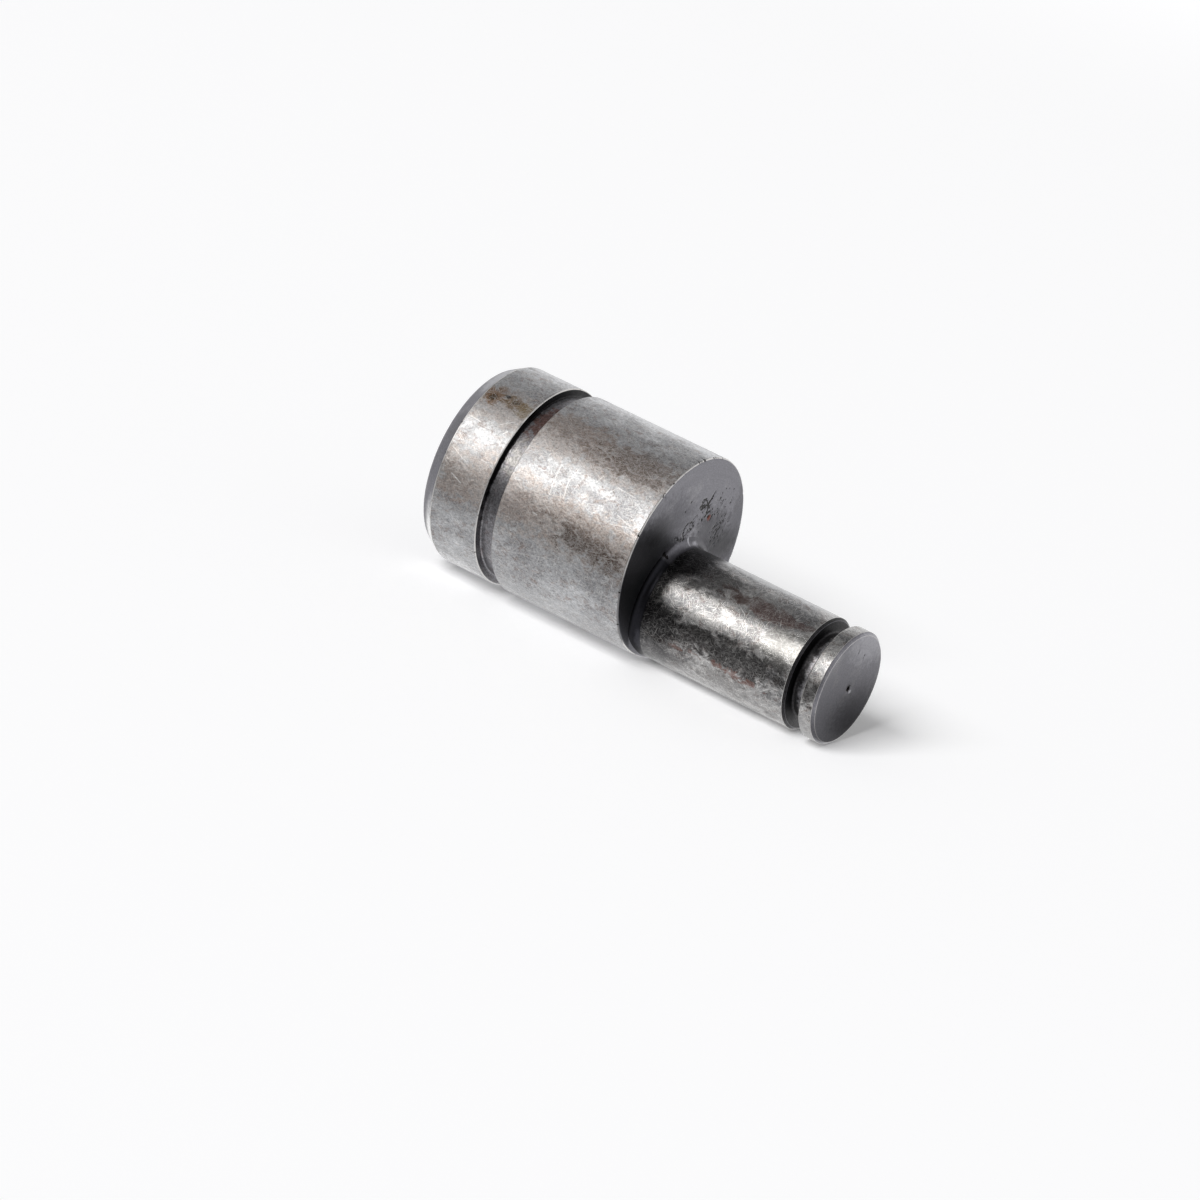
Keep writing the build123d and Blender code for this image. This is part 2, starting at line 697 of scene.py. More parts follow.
SHOULDER_MARS = (          # out from the face, y, z, size, depth and, if not 1, how dark
    (0, 3.5, 4.6, 0.28, 0.12), (0, 3.3, 5.25, 0.26, 0.08), (0, 5.85, 3.0, 0.22, 0.08),
    (0, 7.45, 3.5, 0.2, 0.08), (0, -1.6, 7.2, 0.2, 0.05), (0, -2.35, 6.1, 0.17, 0.05),
    (0, -8.2, 8.7, 0.2, 0.05, 0.8), (0, -4.5, 1.05, 0.36, 0.1), (0.06, -4.28, 0.9, 0.36, 0.1),
    (0.22, -4.0, 0.7, 0.32, 0.1),
)
TIP_FLECKS = (             # y, z and size
    (-0.1, -0.75, 0.16), (-0.1, -1.0, 0.14), (1.5, -1.55, 0.16), (-0.4, -2.2, 0.16), (0.1, -1.6, 0.12),
    (-0.1, -0.5, 0.12),
)
RIM_NICKS = (              # degrees up from the front, and size
    (79.5, 0.2), (81, 0.16), (84.5, 0.24), (94, 0.22), (96, 0.2), (46, 0.17), (48, 0.15), (56, 0.14),
    (20.5, 0.22), (-12, 0.15), (66, 0.13), (104, 0.15), (-34, 0.15), (148, 0.18), (190, 0.17),
)
# dents in the taper's edge and in the groove's near and far edges, given like the nicks
TAPER_DENTS = ((15, 0.2), (34, 0.17), (-20, 0.14), (75, 0.13), (130, 0.16))
COLLAR_DENTS = ((-3.3, 0.13), (-33, 0.15), (10.4, 0.12), (26, 0.11))
GROOVE_DENTS = ((22.4, 0.13),)


@dataclass
class EccentricPin:
    """The pin: a main journal, a shoulder and a small journal, as one closed skin.

    Every size is in millimetres, and every angle in degrees. Columns of the skin run from the
    end face to the tip, and rings run round it.
    """

    main_radius: float
    pin_radius: float
    drop: float                         # the small journal's axis under the main one
    shoulder: float
    tip: float
    close_step: float = 0.6             # from one column to the next on the worn front
    wide_step: float = 1.2              # and elsewhere
    worn_front: tuple[float, float] = (40.0, 200.0)    # about the axis, from +Y towards +Z
    underside: float = -90.0            # where the seam lies
    # main journal
    taper_depth: float = 1.0
    taper_angle: float = 30.0
    shoulder_break: float = 0.25
    collar_length: float = 8.3
    main_groove_width: float = 2.3
    main_groove_depth: float = 1.0
    main_groove_corner: float = 0.2
    main_groove_break: float = 0.1
    # small journal
    root_radius: float = 1.0
    tip_chamfer: float = 0.35
    land_length: float = 2.1
    pin_groove_width: float = 2.0
    pin_groove_depth: float = 1.75
    pin_groove_corner: float = 0.25
    pin_groove_break: float = 0.3
    land_break: float = 0.15
    mark_diameter: float = 0.6
    mark_depth: float = 0.25
    mark_bottom: float = 0.02           # radius of the centre mark's flat bottom
    # rings
    wall_rings: int = 20                # on the main journal between its groove and the shoulder
    face_rings: int = 58                # across the shoulder's face
    face_crowding: float = 1.25         # how much closer they lie near the fillet
    fillet_rings: int = 9
    rim_arc: tuple[float, ...] = (0, 25, 45, 65)    # round the rim's edge
    arc_step: float = 32.0              # longest stretch between two rings of a rounding
    hub: float = 1.2                    # radius round the centre mark with closer rings
    end_hub: float = 0.6                # radius of the end face's middle, which has no rings
    # wear
    seed: int = 7
    taper_middle: float = 1.6           # where the dents in the taper lie
    nick_behind: float = 0.12           # how far the rim's nicks lie behind the shoulder's face
    nick_under: float = 0.1             # and under its rim
    nick_depth: float = 0.08
    dent_depth: float = 0.05            # of the dents in the collar's and the taper's edges
    dent_dark: float = 0.8
    fleck_depth: float = 0.02           # of the tip's flecks
    fleck_dark: float = 0.8
    sunk: Mar = Mar(0.0, 0.05, 0.05, 0.55, 0.06)       # sunk ground round the centre mark, from its middle
    dent_fall: float = 1.4              # how steeply a dent's sides rise
    dark_reach: tuple[float, float] = (1.6, 0.3)    # how dark a pit's middle is, less what its rim is spared
    sharp: float = 36.0                 # angle from which an edge is shaded as one
    # skin
    rings: list[np.ndarray] = field(default_factory=list)
    places: list[np.ndarray] = field(default_factory=list)
    finishes: list[Finish] = field(default_factory=list)

    @classmethod
    def from_frame(cls) -> "EccentricPin":
        """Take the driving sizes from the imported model's box and mounts.

        Returns:
            The pin.
        """
        low, high = (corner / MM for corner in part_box(NODE))
        mounts = {mount["name"]: mount for mount in frame["record"]["mounts"]}
        small = mounts["small_journal"]
        return cls(
            main_radius=(high.z - low.z) / 2,
            pin_radius=small["dims"]["r_mm"],
            drop=-small["pos_m"][2] / MM,
            shoulder=mounts["shoulder_face"]["pos_m"][0] / MM,
            tip=high.x,
        )

    def main_outline(self) -> list[Corner]:
        """List the corners from the end face to the groove's far rim.

        Returns:
            The corners.
        """
        near, far = self.collar_length, self.collar_length + self.main_groove_width
        rim, broken = self.main_radius, self.main_groove_break
        floor = rim - self.main_groove_depth
        taper = self.taper_depth / math.tan(math.radians(self.taper_angle))
        return [
            Corner(0, self.end_hub, 0, Finish.OXIDE, 1.4),
            Corner(0, rim - self.taper_depth, 0.06, Finish.OXIDE, 0.35),
            Corner(taper, rim, 0.25, Finish.MAIN_JOURNAL, 0.65),
            Corner(near - broken, rim, 0.03, Finish.EDGE),
            Corner(near, rim - broken, 0.03, Finish.GROOVE, 0.3),
            Corner(near, floor, self.main_groove_corner, Finish.GROOVE, 0.3, Finish.GROOVE),
            Corner(far, floor, self.main_groove_corner, Finish.GROOVE, 0.3, Finish.GROOVE),
            Corner(far, rim - broken, 0.03, Finish.EDGE),
            Corner(far + broken, rim, 0, Finish.MAIN_JOURNAL),
        ]

    def small_outline(self) -> list[Corner]:
        """List the corners from the root fillet's end to the centre mark.

        Returns:
            The corners.
        """
        far = self.tip - self.land_length
        near = far - self.pin_groove_width
        rim, tip = self.pin_radius, self.tip
        floor = rim - self.pin_groove_depth
        mark = self.mark_diameter / 2
        return [
            Corner(self.shoulder + self.root_radius, rim, 0, Finish.SMALL_JOURNAL, 0.95),
            Corner(near - self.pin_groove_break, rim, 0.05, Finish.GROOVE),
            Corner(near, rim - self.pin_groove_break, 0.05, Finish.GROOVE, 0.4, Finish.OXIDE),
            Corner(near, floor, self.pin_groove_corner, Finish.GROOVE, 0.4, Finish.GROOVE),
            Corner(far, floor, self.pin_groove_corner, Finish.GROOVE, 0.4, Finish.GROOVE),
            Corner(far, rim - self.land_break, 0.04, Finish.EDGE),
            Corner(far + self.land_break, rim, 0.05, Finish.SMALL_JOURNAL, 0.4),
            Corner(tip - self.tip_chamfer, rim, 0.05, Finish.OXIDE),
            Corner(tip, rim - self.tip_chamfer, 0.05, Finish.OXIDE, 0.5),
            Corner(tip, self.hub, 0, Finish.OXIDE, 0.13),
            Corner(tip, mark, 0.05, Finish.OXIDE, 0.2, Finish.OXIDE),
            Corner(tip - self.mark_depth, self.mark_bottom, 0),
        ]

    def arc(self, before: Corner, corner: Corner, after: Corner) -> np.ndarray:
        """Round a corner.

        Args:
            before: the corner before it.
            corner: the corner that is rounded.
            after: the corner after it.

        Returns:
            Points (x, radius) along the rounding, from one run to the other.
        """
        at = np.array((corner.x, corner.radius))
        if corner.soft == 0:
            return at[None]
        back = np.array((before.x, before.radius)) - at
        on = np.array((after.x, after.radius)) - at
        back, on = back / np.hypot(*back), on / np.hypot(*on)
        half = math.acos(float(np.clip(back @ on, -1, 1))) / 2
        middle = at + (back + on) / np.hypot(*(back + on)) * corner.soft / math.sin(half)
        start = at + back * corner.soft / math.tan(half) - middle
        end = at + on * corner.soft / math.tan(half) - middle
        first, last = math.atan2(start[1], start[0]), math.atan2(end[1], end[0])
        sweep = (last - first + math.pi) % (2 * math.pi) - math.pi
        pieces = max(2, math.ceil(abs(sweep) / math.radians(self.arc_step)))
        angles = first + sweep * np.linspace(0, 1, pieces + 1)
        return middle + corner.soft * np.stack((np.cos(angles), np.sin(angles)), 1)

    def turn(self, outline: list[Corner], around: np.ndarray, height: float) -> None:
        """Turn an outline into rings.

        Args:
            outline: its corners, in order along the axis.
            around: the angle of each column about the axis.
            height: the axis's height.
        """
        arcs = [
            self.arc(outline[max(k - 1, 0)], corner, outline[min(k + 1, len(outline) - 1)])
            for k, corner in enumerate(outline)
        ]
        for corner, bend, following in zip(outline, arcs, [*arcs[1:], None]):
            for x, radius in bend[:-1]:
                self.ring(x, radius, around, height, corner.edge)
            start = bend[-1]
            if following is None:
                self.ring(*start, around, height, corner.run)
                break
            run = following[0] - start
            count = max(1, math.ceil(np.hypot(*run) / corner.step))
            for k in range(count):
                self.ring(*(start + run * k / count), around, height, corner.run)

    def ring(self, x: Any, radius: Any, around: np.ndarray, height: float, finish: Finish) -> None:
        """Add a ring and its unrolled places.

        Args:
            x: distance from the end face, one for all columns or one each.
            radius: distance from the axis, one for all columns or one each.
            around: the angle of each column about the axis.
            height: the axis's height.
            finish: finish of the faces that follow the ring.
        """
        x = np.broadcast_to(x, around.shape)
        radius = np.broadcast_to(radius, around.shape)
        self.rings.append(np.stack((x, radius * np.cos(around), height + radius * np.sin(around)), 1))
        self.places.append(np.stack((x, math.pi - around, radius), 1))
        self.finishes.append(finish)

    def arm(self, finish: Finish) -> float:
        """Give the radius by which a finish's angles become lengths."""
        return self.pin_radius if finish is Finish.SMALL_JOURNAL else self.main_radius

    def fillet(self, reach: np.ndarray) -> np.ndarray:
        """Give the root fillet's height over the shoulder, at a distance from the small journal's axis."""
        inside = np.clip(self.pin_radius + self.root_radius - reach, 0, self.root_radius)
        return self.root_radius - np.sqrt(self.root_radius ** 2 - inside ** 2)

    def reach(self, around: np.ndarray, radius: Any) -> np.ndarray:
        """Give the distance from the small journal's axis to a circle about the main one, at each column."""
        return self.drop * np.sin(around) + np.sqrt(radius ** 2 - (self.drop * np.cos(around)) ** 2)

    def shoulder_rings(self, around: np.ndarray, main_around: np.ndarray) -> None:
        """Add the main journal's wall, the rim, the shoulder's face and the root fillet.

        Where the small journal comes near the rim, its fillet runs out over it, so the wall
        ends on the fillet and the rim's chamfer fades.

        Args:
            around: each column's angle about the small journal's axis.
            main_around: each column's angle about the main axis.
        """
        rim_reach = self.reach(around, self.main_radius)
        rise = self.fillet(rim_reach)
        fade = np.clip((rim_reach - self.pin_radius) / self.root_radius, 0, 1)
        broken = self.shoulder_break * fade
        start = self.collar_length + self.main_groove_width + self.main_groove_break
        end = self.shoulder + rise - broken
        for share in np.arange(1, self.wall_rings) / self.wall_rings:
            self.ring(start + (end - start) * share, self.main_radius, main_around, 0, Finish.MAIN_JOURNAL)
        bands = (Finish.MAIN_JOURNAL, Finish.EDGE, Finish.EDGE, Finish.OXIDE)
        for slope, finish in zip(np.radians(self.rim_arc), bands):
            radius = self.main_radius - broken * (1 - np.cos(slope))
            self.ring(end + broken * np.sin(slope), radius, main_around, 0, finish)
        outer = self.reach(around, self.main_radius - broken)
        inner = np.minimum(self.pin_radius + self.root_radius, (outer + self.pin_radius) / 2)
        for share in 1 - (1 - np.arange(self.face_rings) / self.face_rings) ** self.face_crowding:
            reach = outer + (inner - outer) * share
            self.ring(self.shoulder + self.fillet(reach), reach, around, -self.drop, Finish.OXIDE)
        first = np.arcsin(np.clip((self.pin_radius + self.root_radius - inner) / self.root_radius, 0, 1))
        for share in np.arange(self.fillet_rings) / self.fillet_rings:
            slope = first + (math.pi / 2 - first) * share
            reach = self.pin_radius + self.root_radius * (1 - np.sin(slope))
            rise = self.root_radius * (1 - np.cos(slope))
            self.ring(self.shoulder + rise, reach, around, -self.drop, Finish.ROOT)

    def on_edge(
        self, x: float, theta: float, size: float, depth: float, dark: float = 1.0, under: float = 0.0,
    ) -> Mar:
        """Place a nick or a dent in an edge of the main journal, by degrees up from the front."""
        turn, radius = math.radians(theta), self.main_radius - under
        return Mar(x, -radius * math.cos(turn), radius * math.sin(turn), size, depth, dark)

    def mars(self) -> list[Mar]:
        """List the pits in the faces, and the nicks and dents in the edges.

        Returns:
            All of them.
        """
        draw = np.random.default_rng(self.seed)
        found = [pit for group in (*CLUSTERS, *CRACKS) for pit in group.pits(self.shoulder, draw)]
        found += [Mar(self.shoulder + out, *row) for out, *row in SHOULDER_MARS]
        found.append(replace(self.sunk, x=self.tip, z=self.sunk.z - self.drop))
        found += [Mar(self.tip, *fleck, self.fleck_depth, self.fleck_dark) for fleck in TIP_FLECKS]
        behind = self.shoulder - self.nick_behind
        found += [self.on_edge(behind, *nick, self.nick_depth, under=self.nick_under) for nick in RIM_NICKS]
        near, far = self.collar_length, self.collar_length + self.main_groove_width
        for x, dents in ((near, COLLAR_DENTS), (far, GROOVE_DENTS), (self.taper_middle, TAPER_DENTS)):
            found += [self.on_edge(x, *dent, self.dent_depth, self.dent_dark) for dent in dents]
        return found

    def skin(self) -> tuple[np.ndarray, np.ndarray]:
        """Press the mars into the rings.

        Returns:
            Every ring's points, and how pitted each point is.
        """
        points = np.stack(self.rings)
        along = np.gradient(points, axis=0)
        across = np.roll(points, -1, axis=1) - np.roll(points, 1, axis=1)
        inward = np.cross(along, across)
        inward /= np.maximum(np.linalg.norm(inward, axis=2, keepdims=True), TINY)
        sound = np.ones(points.shape[:2])
        depth = np.zeros(points.shape[:2])
        fill, rim = self.dark_reach
        for mar in self.mars():
            far = np.linalg.norm(points - (mar.x, mar.y, mar.z), axis=2) / mar.size
            dent = np.exp(-far ** 2 * self.dent_fall)
            depth = np.maximum(depth, mar.depth * dent)
            sound *= 1 - mar.dark * np.clip(dent * fill - rim, 0, 1)
        return points + inward * depth[..., None], 1 - sound

    def columns(self) -> np.ndarray:
        """Place the columns about the small journal's axis, closer on the worn front.

        Returns:
            Their angles, in radians.
        """
        bounds = (self.underside, *self.worn_front, self.underside + 360)
        steps = (self.wide_step, self.close_step, self.wide_step)
        placed = []
        for first, last, step in zip(bounds, bounds[1:], steps):
            count = round((last - first) / step)
            placed.append(first + (last - first) * (np.arange(count) + 0.5) / count)
        return np.radians(np.concatenate(placed))

    def mesh(self) -> bpy.types.Mesh:
        """Build the closed skin with its finishes, its unrolled places and its pits.

        Returns:
            The mesh.
        """
        around = self.columns()
        reach = self.reach(around, self.main_radius)
        turned = np.arctan2(-self.drop + reach * np.sin(around), reach * np.cos(around))
        main_around = np.where(turned < -math.pi / 2, turned + 2 * math.pi, turned)
        self.turn(self.main_outline(), main_around, 0)
        self.shoulder_rings(around, main_around)
        self.turn(self.small_outline(), around, -self.drop)

        points, pitted = self.skin()
        rings, columns = points.shape[:2]
        own = np.arange(rings * columns).reshape(rings, columns)
        next_own = np.roll(own, -1, axis=1)
        quads = np.stack((own[:-1], next_own[:-1], next_own[1:], own[1:]), 2).reshape(-1, 4)
        first, last = rings * columns, rings * columns + 1
        ends = np.array([[self.rings[0][0, 0], 0, 0], [self.rings[-1][0, 0], 0, -self.drop]])
        caps = np.concatenate((
            np.stack((np.full(columns, first), next_own[0], own[0]), 1),
            np.stack((np.full(columns, last), own[-1], next_own[-1]), 1),
        ))
        made = bpy.data.meshes.new("dressed_eccentric_pin")
        made.from_pydata(
            np.concatenate((points.reshape(-1, 3), ends)) * MM, [], [*quads.tolist(), *caps.tolist()],
        )
        finishes = np.concatenate((
            np.repeat([int(finish) for finish in self.finishes[:-1]], columns),
            np.full(len(caps), int(Finish.OXIDE)),
        ))
        made.polygons.foreach_set("material_index", finishes.astype(np.int32))
        made.polygons.foreach_set("use_smooth", np.ones(len(finishes), bool))
        made.attributes.new(PITTED, "FLOAT", "POINT").data.foreach_set(
            "value", np.append(pitted.ravel(), (0.0, 0.0)).astype(np.float32),
        )
        self.unroll(made)
        made.set_sharp_from_angle(angle=math.radians(self.sharp))
        made.validate()
        return made

    def unroll(self, made: bpy.types.Mesh) -> None:
        """Write each face corner's unrolled place, with the seam along the underside.

        Args:
            made: the mesh: faces between the rings, and then the caps of both ends.
        """
        places = np.stack(self.places)
        wide = np.concatenate((places, places[:, :1] - (0, 2 * math.pi, 0)), axis=1)
        round_faces = np.stack((wide[:-1, :-1], wide[:-1, 1:], wide[1:, 1:], wide[1:, :-1]), axis=2)
        round_faces[..., 1] *= np.array([self.arm(finish) for finish in self.finishes[:-1]])[:, None, None]
        values = [round_faces]
        for ring, rim in ((wide[0], (1, 0)), (wide[-1], (0, 1))):
            cap = np.zeros((len(ring) - 1, 3, 3))
            cap[:, 0, 0] = ring[0, 0]
            for corner, shift in enumerate(rim, 1):
                cap[:, corner] = ring[shift:len(ring) - 1 + shift] * (1, self.arm(Finish.OXIDE), 1)
            values.append(cap)
        attribute = made.attributes.new(UNROLLED, "FLOAT_VECTOR", "CORNER")
        attribute.data.foreach_set("vector", np.concatenate([v.ravel() for v in values]).astype(np.float32))

    def patches(self, radius: float, rows: Iterable[tuple], rag: float) -> tuple[Patch, ...]:
        """Lay patches out on a journal.

        Args:
            radius: the journal's radius.
            rows: x, theta, length, height, colour and strength of each patch.
            rag: how ragged their edges are.

        Returns:
            The patches.
        """
        return tuple(
            Patch(on_journal(radius, x, theta), (length, height, EVERYWHERE), colour, strength, rag)
            for x, theta, length, height, colour, strength in rows
        )

    def main_finish(self) -> GroundSteel:
        """Choose the main journal's finish.

        Returns:
            Worn ground steel, with this journal's tints, stains and scratches, and painted reflections low on
            it and near its top.
        """
        radius = self.main_radius
        tints_and_painted_light = (
            # lighter low on the journal, at -52 degrees: painted reflection of the floor
            (15, -52, 60, 6.0, "#C6C7C9", 0.6), (15, 9, 60, 7.5, "#C6B8B0", 0.7),
            (15, 53, 60, 6.5, "#C6B9B2", 0.6), (15, 60, 13, 4.4, "#97867D", 0.7),
            (24, 56, 11, 5.2, "#6C5D55", 0.8), (19, 50, 8, 2.6, "#7D6B61", 0.6),
            (22.5, 5, 11, 3.8, "#54463F", 0.9), (26.5, -2, 5, 3.4, "#5E4F47", 0.75),
            (13, 7, 8, 4.0, "#988780", 0.45), (4, 2, 7, 4.4, "#A4958D", 0.5),
            (22, -16, 14, 4.0, "#8A8B8E", 0.5), (26, 78, 9, 6.0, "#858588", 0.6),
            # lighter near the top, at 101 degrees: painted reflection
            (23, 15, 12, 3.6, "#A09087", 0.55), (15, 101, 60, 5.0, "#DCDDE0", 0.8),
            # lighter low on the collar, at -60 degrees: painted reflection of the floor
            (4, -60, 8, 5.0, "#F0F0F2", 0.9),
        )
        whole_patches = (
            (3.0, 56.0, 3.2, 3.4, "#724A0C", 0.75), (5.6, 57.3, 4.0, 2.2, "#77592A", 0.7),
            (7.4, 55.3, 2.4, 2.6, "#947F5C", 0.6), (4.4, 59.3, 0.9, 0.7, "#38383A", 0.85),
            (3.0, 55.6, 1.3, 1.1, "#35280F", 0.8), (5.6, 58.1, 1.4, 0.7, "#42331A", 0.7),
        )
        scratches = (
            ((3.4, 7.0), (4.1, 5.8), 0.13, 0.8), ((4.1, 5.8), (4.9, 4.2), 0.13, 0.9),
            ((15.1, 7.4), (15.7, 7.0), 0.14, 0.8), ((2.2, 20.3), (3.8, 17.0), 0.1, 0.4),
            ((3.8, 17.0), (4.7, 15.7), 0.1, 0.4), ((6.3, 20.4), (7.1, 20.1), 0.1, 0.45),
            ((7.1, 20.1), (7.8, 21.4), 0.1, 0.45), ((6.1, 42.0), (7.4, 47.0), 0.12, 0.5),
            ((2.3, 39.2), (3.8, 38.5), 0.12, 0.5), ((7.1, 38.1), (7.4, 40.1), 0.12, 0.6),
            ((16.2, 19.6), (15.9, 27.4), 0.1, 0.4), ((15.9, 27.4), (15.7, 36.6), 0.1, 0.35),
            ((18.0, 21.6), (17.6, 30.2), 0.1, 0.4), ((17.6, 30.2), (17.9, 40.7), 0.1, 0.35),
            ((22.3, 30.5), (23.4, 39.1), 0.1, 0.4), ((23.4, 39.1), (26.0, 38.1), 0.1, 0.42),
            ((24.7, 19.7), (27.4, 22.6), 0.1, 0.35), ((25.2, 25.6), (27.3, 23.3), 0.1, 0.35),
            ((20.7, 36.8), (21.0, 41.3), 0.12, 0.4), ((12.0, -22.0), (19.0, -12.0), 0.1, 0.25),
        )
        return GroundSteel(
            "worn_ground_steel_main", tints_and_painted_light=self.patches(radius, tints_and_painted_light, 1.1),
            whole_patches=self.patches(radius, whole_patches, 0.75), scratches=tuple(
                Scratch(on_journal(radius, *first), on_journal(radius, *last), width, strength)
                for first, last, width, strength in scratches
            ),
        )

    def small_finish(self) -> GroundSteel:
        """Choose the small journal's finish.

        Returns:
            Worn ground steel that has kept more of its oxide, with this journal's tints and streaks, darker
            bands that are partly oxide and partly painted reflection, painted reflections, and painted shade
            near the root.
        """
        radius = self.pin_radius
        tints_and_painted_light = (
            # darker along the front: oxide, and the painted reflection of a dark band; lighter near the top,
            # at 101 degrees: painted reflection
            (42, -1, 24, 4.6, "#2F2D2D", 0.97), (42, 101, 24, 3.0, "#C4C5C7", 0.8),
            # darker at 62 degrees: oxide, and the painted reflection of a dark band
            (34, -30, 9, 7.0, "#5A5858", 0.6), (35, 62, 10, 6.0, "#343232", 0.75),
            (44, 55, 12, 2.6, "#5F4038", 0.6), (39.5, 56, 6, 2.0, "#4C3731", 0.5),
            # darker on the land at 2 degrees: oxide, and the painted reflection of a dark band
            (41, -34, 8, 5.0, "#6E6C6B", 0.55), (53, 2, 3, 3.4, "#3E3C3C", 0.85),
            # lighter low on the land: painted reflection of the floor; darker at -3 degrees: oxide, and the
            # painted reflection of a dark band
            (53, -48, 3, 6.0, "#B8B7B7", 0.6), (36, -3, 10, 5.0, "#2A2828", 0.7),
            # darker where the highlight falls: painted shade that dims it
            (47.5, 30, 8, 4.6, "#7E7D7B", 0.8),
        )
        streaks = (
            (31.6, -18, 4.0, 0.9, "#7F5449", 0.7), (34.6, -17.5, 3.0, 0.7, "#75544B", 0.6),
            (37.4, -16, 2.4, 0.6, "#75544B", 0.6), (40.5, -16, 2.2, 0.7, "#7F5A52", 0.55),
            (42.7, -17, 2.6, 0.9, "#7F5A52", 0.6), (45.3, -19.5, 2.8, 0.8, "#7A564E", 0.6),
        )
        # darker next to the shoulder: painted shade at the small journal's root
        whole = (
            (29.6, 35, 4.2, 22, "#1A1A1B", 0.95), (31.5, 75, 5.0, 9.0, "#242424", 0.85),
            (31.5, 98, 5.0, 4.5, "#2A2A2B", 0.85), (31.0, -42, 6.5, 10.0, "#4C4B4D", 0.85),
            (30.0, -64, 3.4, 6.0, "#1A1A1B", 0.9), (32.0, -4, 7.5, 6.4, "#1B1A1B", 0.95),
        )
        return GroundSteel(
            "worn_ground_steel_small", clean="#A09F9F", film="#6E6E70", brown="#5B4A44", worn=(0.40, 0.60),
            roughness=(0.26, 0.34), depth=0.0042, grainy=(0.88, 1.10), marked=(0.45, 0.18), between=0.7,
            cloudy=(5.0, 0.58), tints_and_painted_light=self.patches(radius, tints_and_painted_light, 0.8) + self.patches(radius, streaks, 1.8),
            whole_patches=self.patches(radius, whole, 0.25),
        )

    def oxide_finish(self) -> BlackOxide:
        """Choose the finish of the faces that were left as they came from the bath.

        Returns:
            Black oxide, with the patches of the shoulder, the taper and the tip, most of them painted
            reflections and painted shade.
        """
        face, tip = self.shoulder, self.tip
        taper = 1.2                     # just short of its middle
        return BlackOxide("black_oxide", patches=(
            # shoulder: a rust spot, and darker patches, most of them painted shade and painted reflection
            Patch((face, 10.5, 2.5), (1.0, 4.0, 14.0), "#5C5B61", 0.8, 0.4),
            # darker beside the pin: painted shade
            Patch((face, 5.0, 2.6), (1.0, 10.0, 7.0), "#46454A", 0.85, 0.5, 0.4),
            Patch((face, 8.5, 0.0), (1.0, 13.0, 6.0), "#2E2D31", 0.9, 0.2, 0.2),
            # darker on the left: painted reflection of the pin and of its shadow on the floor
            Patch((face, -5.0, 5.0), (1.0, 13.0, 9.0), "#515056", 0.75, 0.4, 0.3),
            Patch((face, -9.5, -4.0), (1.6, 19.0, 18.6), "#646469", 0.97, 0.12, 0.85),
            Patch((face, 3.8, 4.4), (0.6, 1.0, 0.85), "#6B3B31", 0.95, 0.4),
            # painted reflection of the pin, as above
            Patch((face, -7.5, 4.4), (1.0, 9.0, 5.0), "#343337", 0.75, 0.3, 0.2),
            # taper: lighter low on its front and near its top, painted reflection
            Patch((taper + 0.3, -8.2, -8.4), (2.5, 16.0, 15.0), "#FFFFFF", 1.0, 0.15, 0.3),
            Patch((taper, -10.6, 6.4), (2.4, 5.0, 8.0), "#6A6A6E", 0.8, 0.3, 0.3),
            # lighter near the top: painted reflection
            Patch((taper, -4.0, 11.5), (2.4, 9.0, 5.0), "#A8A8AD", 0.85, 0.3, 0.3),
            # tip: lighter on top and darker low on the right, painted reflection of the floor and of the
            # pin's shadow on it
            Patch((tip, 2.5, 0.0), (0.8, 11.0, 7.0), "#9F9EA4", 0.85, 0.4, 0.3),
            Patch((tip, 3.5, -9.0), (0.8, 14.0, 9.5), "#525156", 0.8, 0.3, 0.2),
            Patch((tip, 0.65, -self.drop - 0.45), (0.6, 0.6, 0.5), "#C4C4C8", 0.9, 0.3),
        ))

    def root_finish(self) -> BlackOxide:
        """Choose the root fillet's finish.

        Returns:
            Black oxide with painted highlights on top, and painted shade below the tool's mark and at the
            bottom.
        """
        face = self.shoulder
        return BlackOxide("black_oxide_root", film="#515055", clean="#5C5B60", patches=(
            # lighter on top: painted highlight
            Patch((face + 0.5, -1.4, 1.8), (1.2, 6.0, 2.4), "#6B6A70", 0.9, 0.2, 0.6),
            # darker low on the front: painted shade
            Patch((face + 0.5, -7.5, -6.0), (6.0, 10.2, 16.2), "#232327", 1.0, 0.05, 0.97),
            # lighter on top: painted highlights
            Patch((face + 0.35, 0.2, 2.2), (1.4, 0.4, 1.6), "#B9B9BF", 0.75, 0.3),
            Patch((face + 0.6, 1.9, 1.7), (1.0, 2.4, 1.2), "#A2A1A8", 0.75, 0.4),
            # darker at the bottom: painted shade
            Patch((face + 0.75, -6.2, -9.6), (0.9, 3.0, 5.0), "#3C3C42", 0.8, 0.3),
        ))

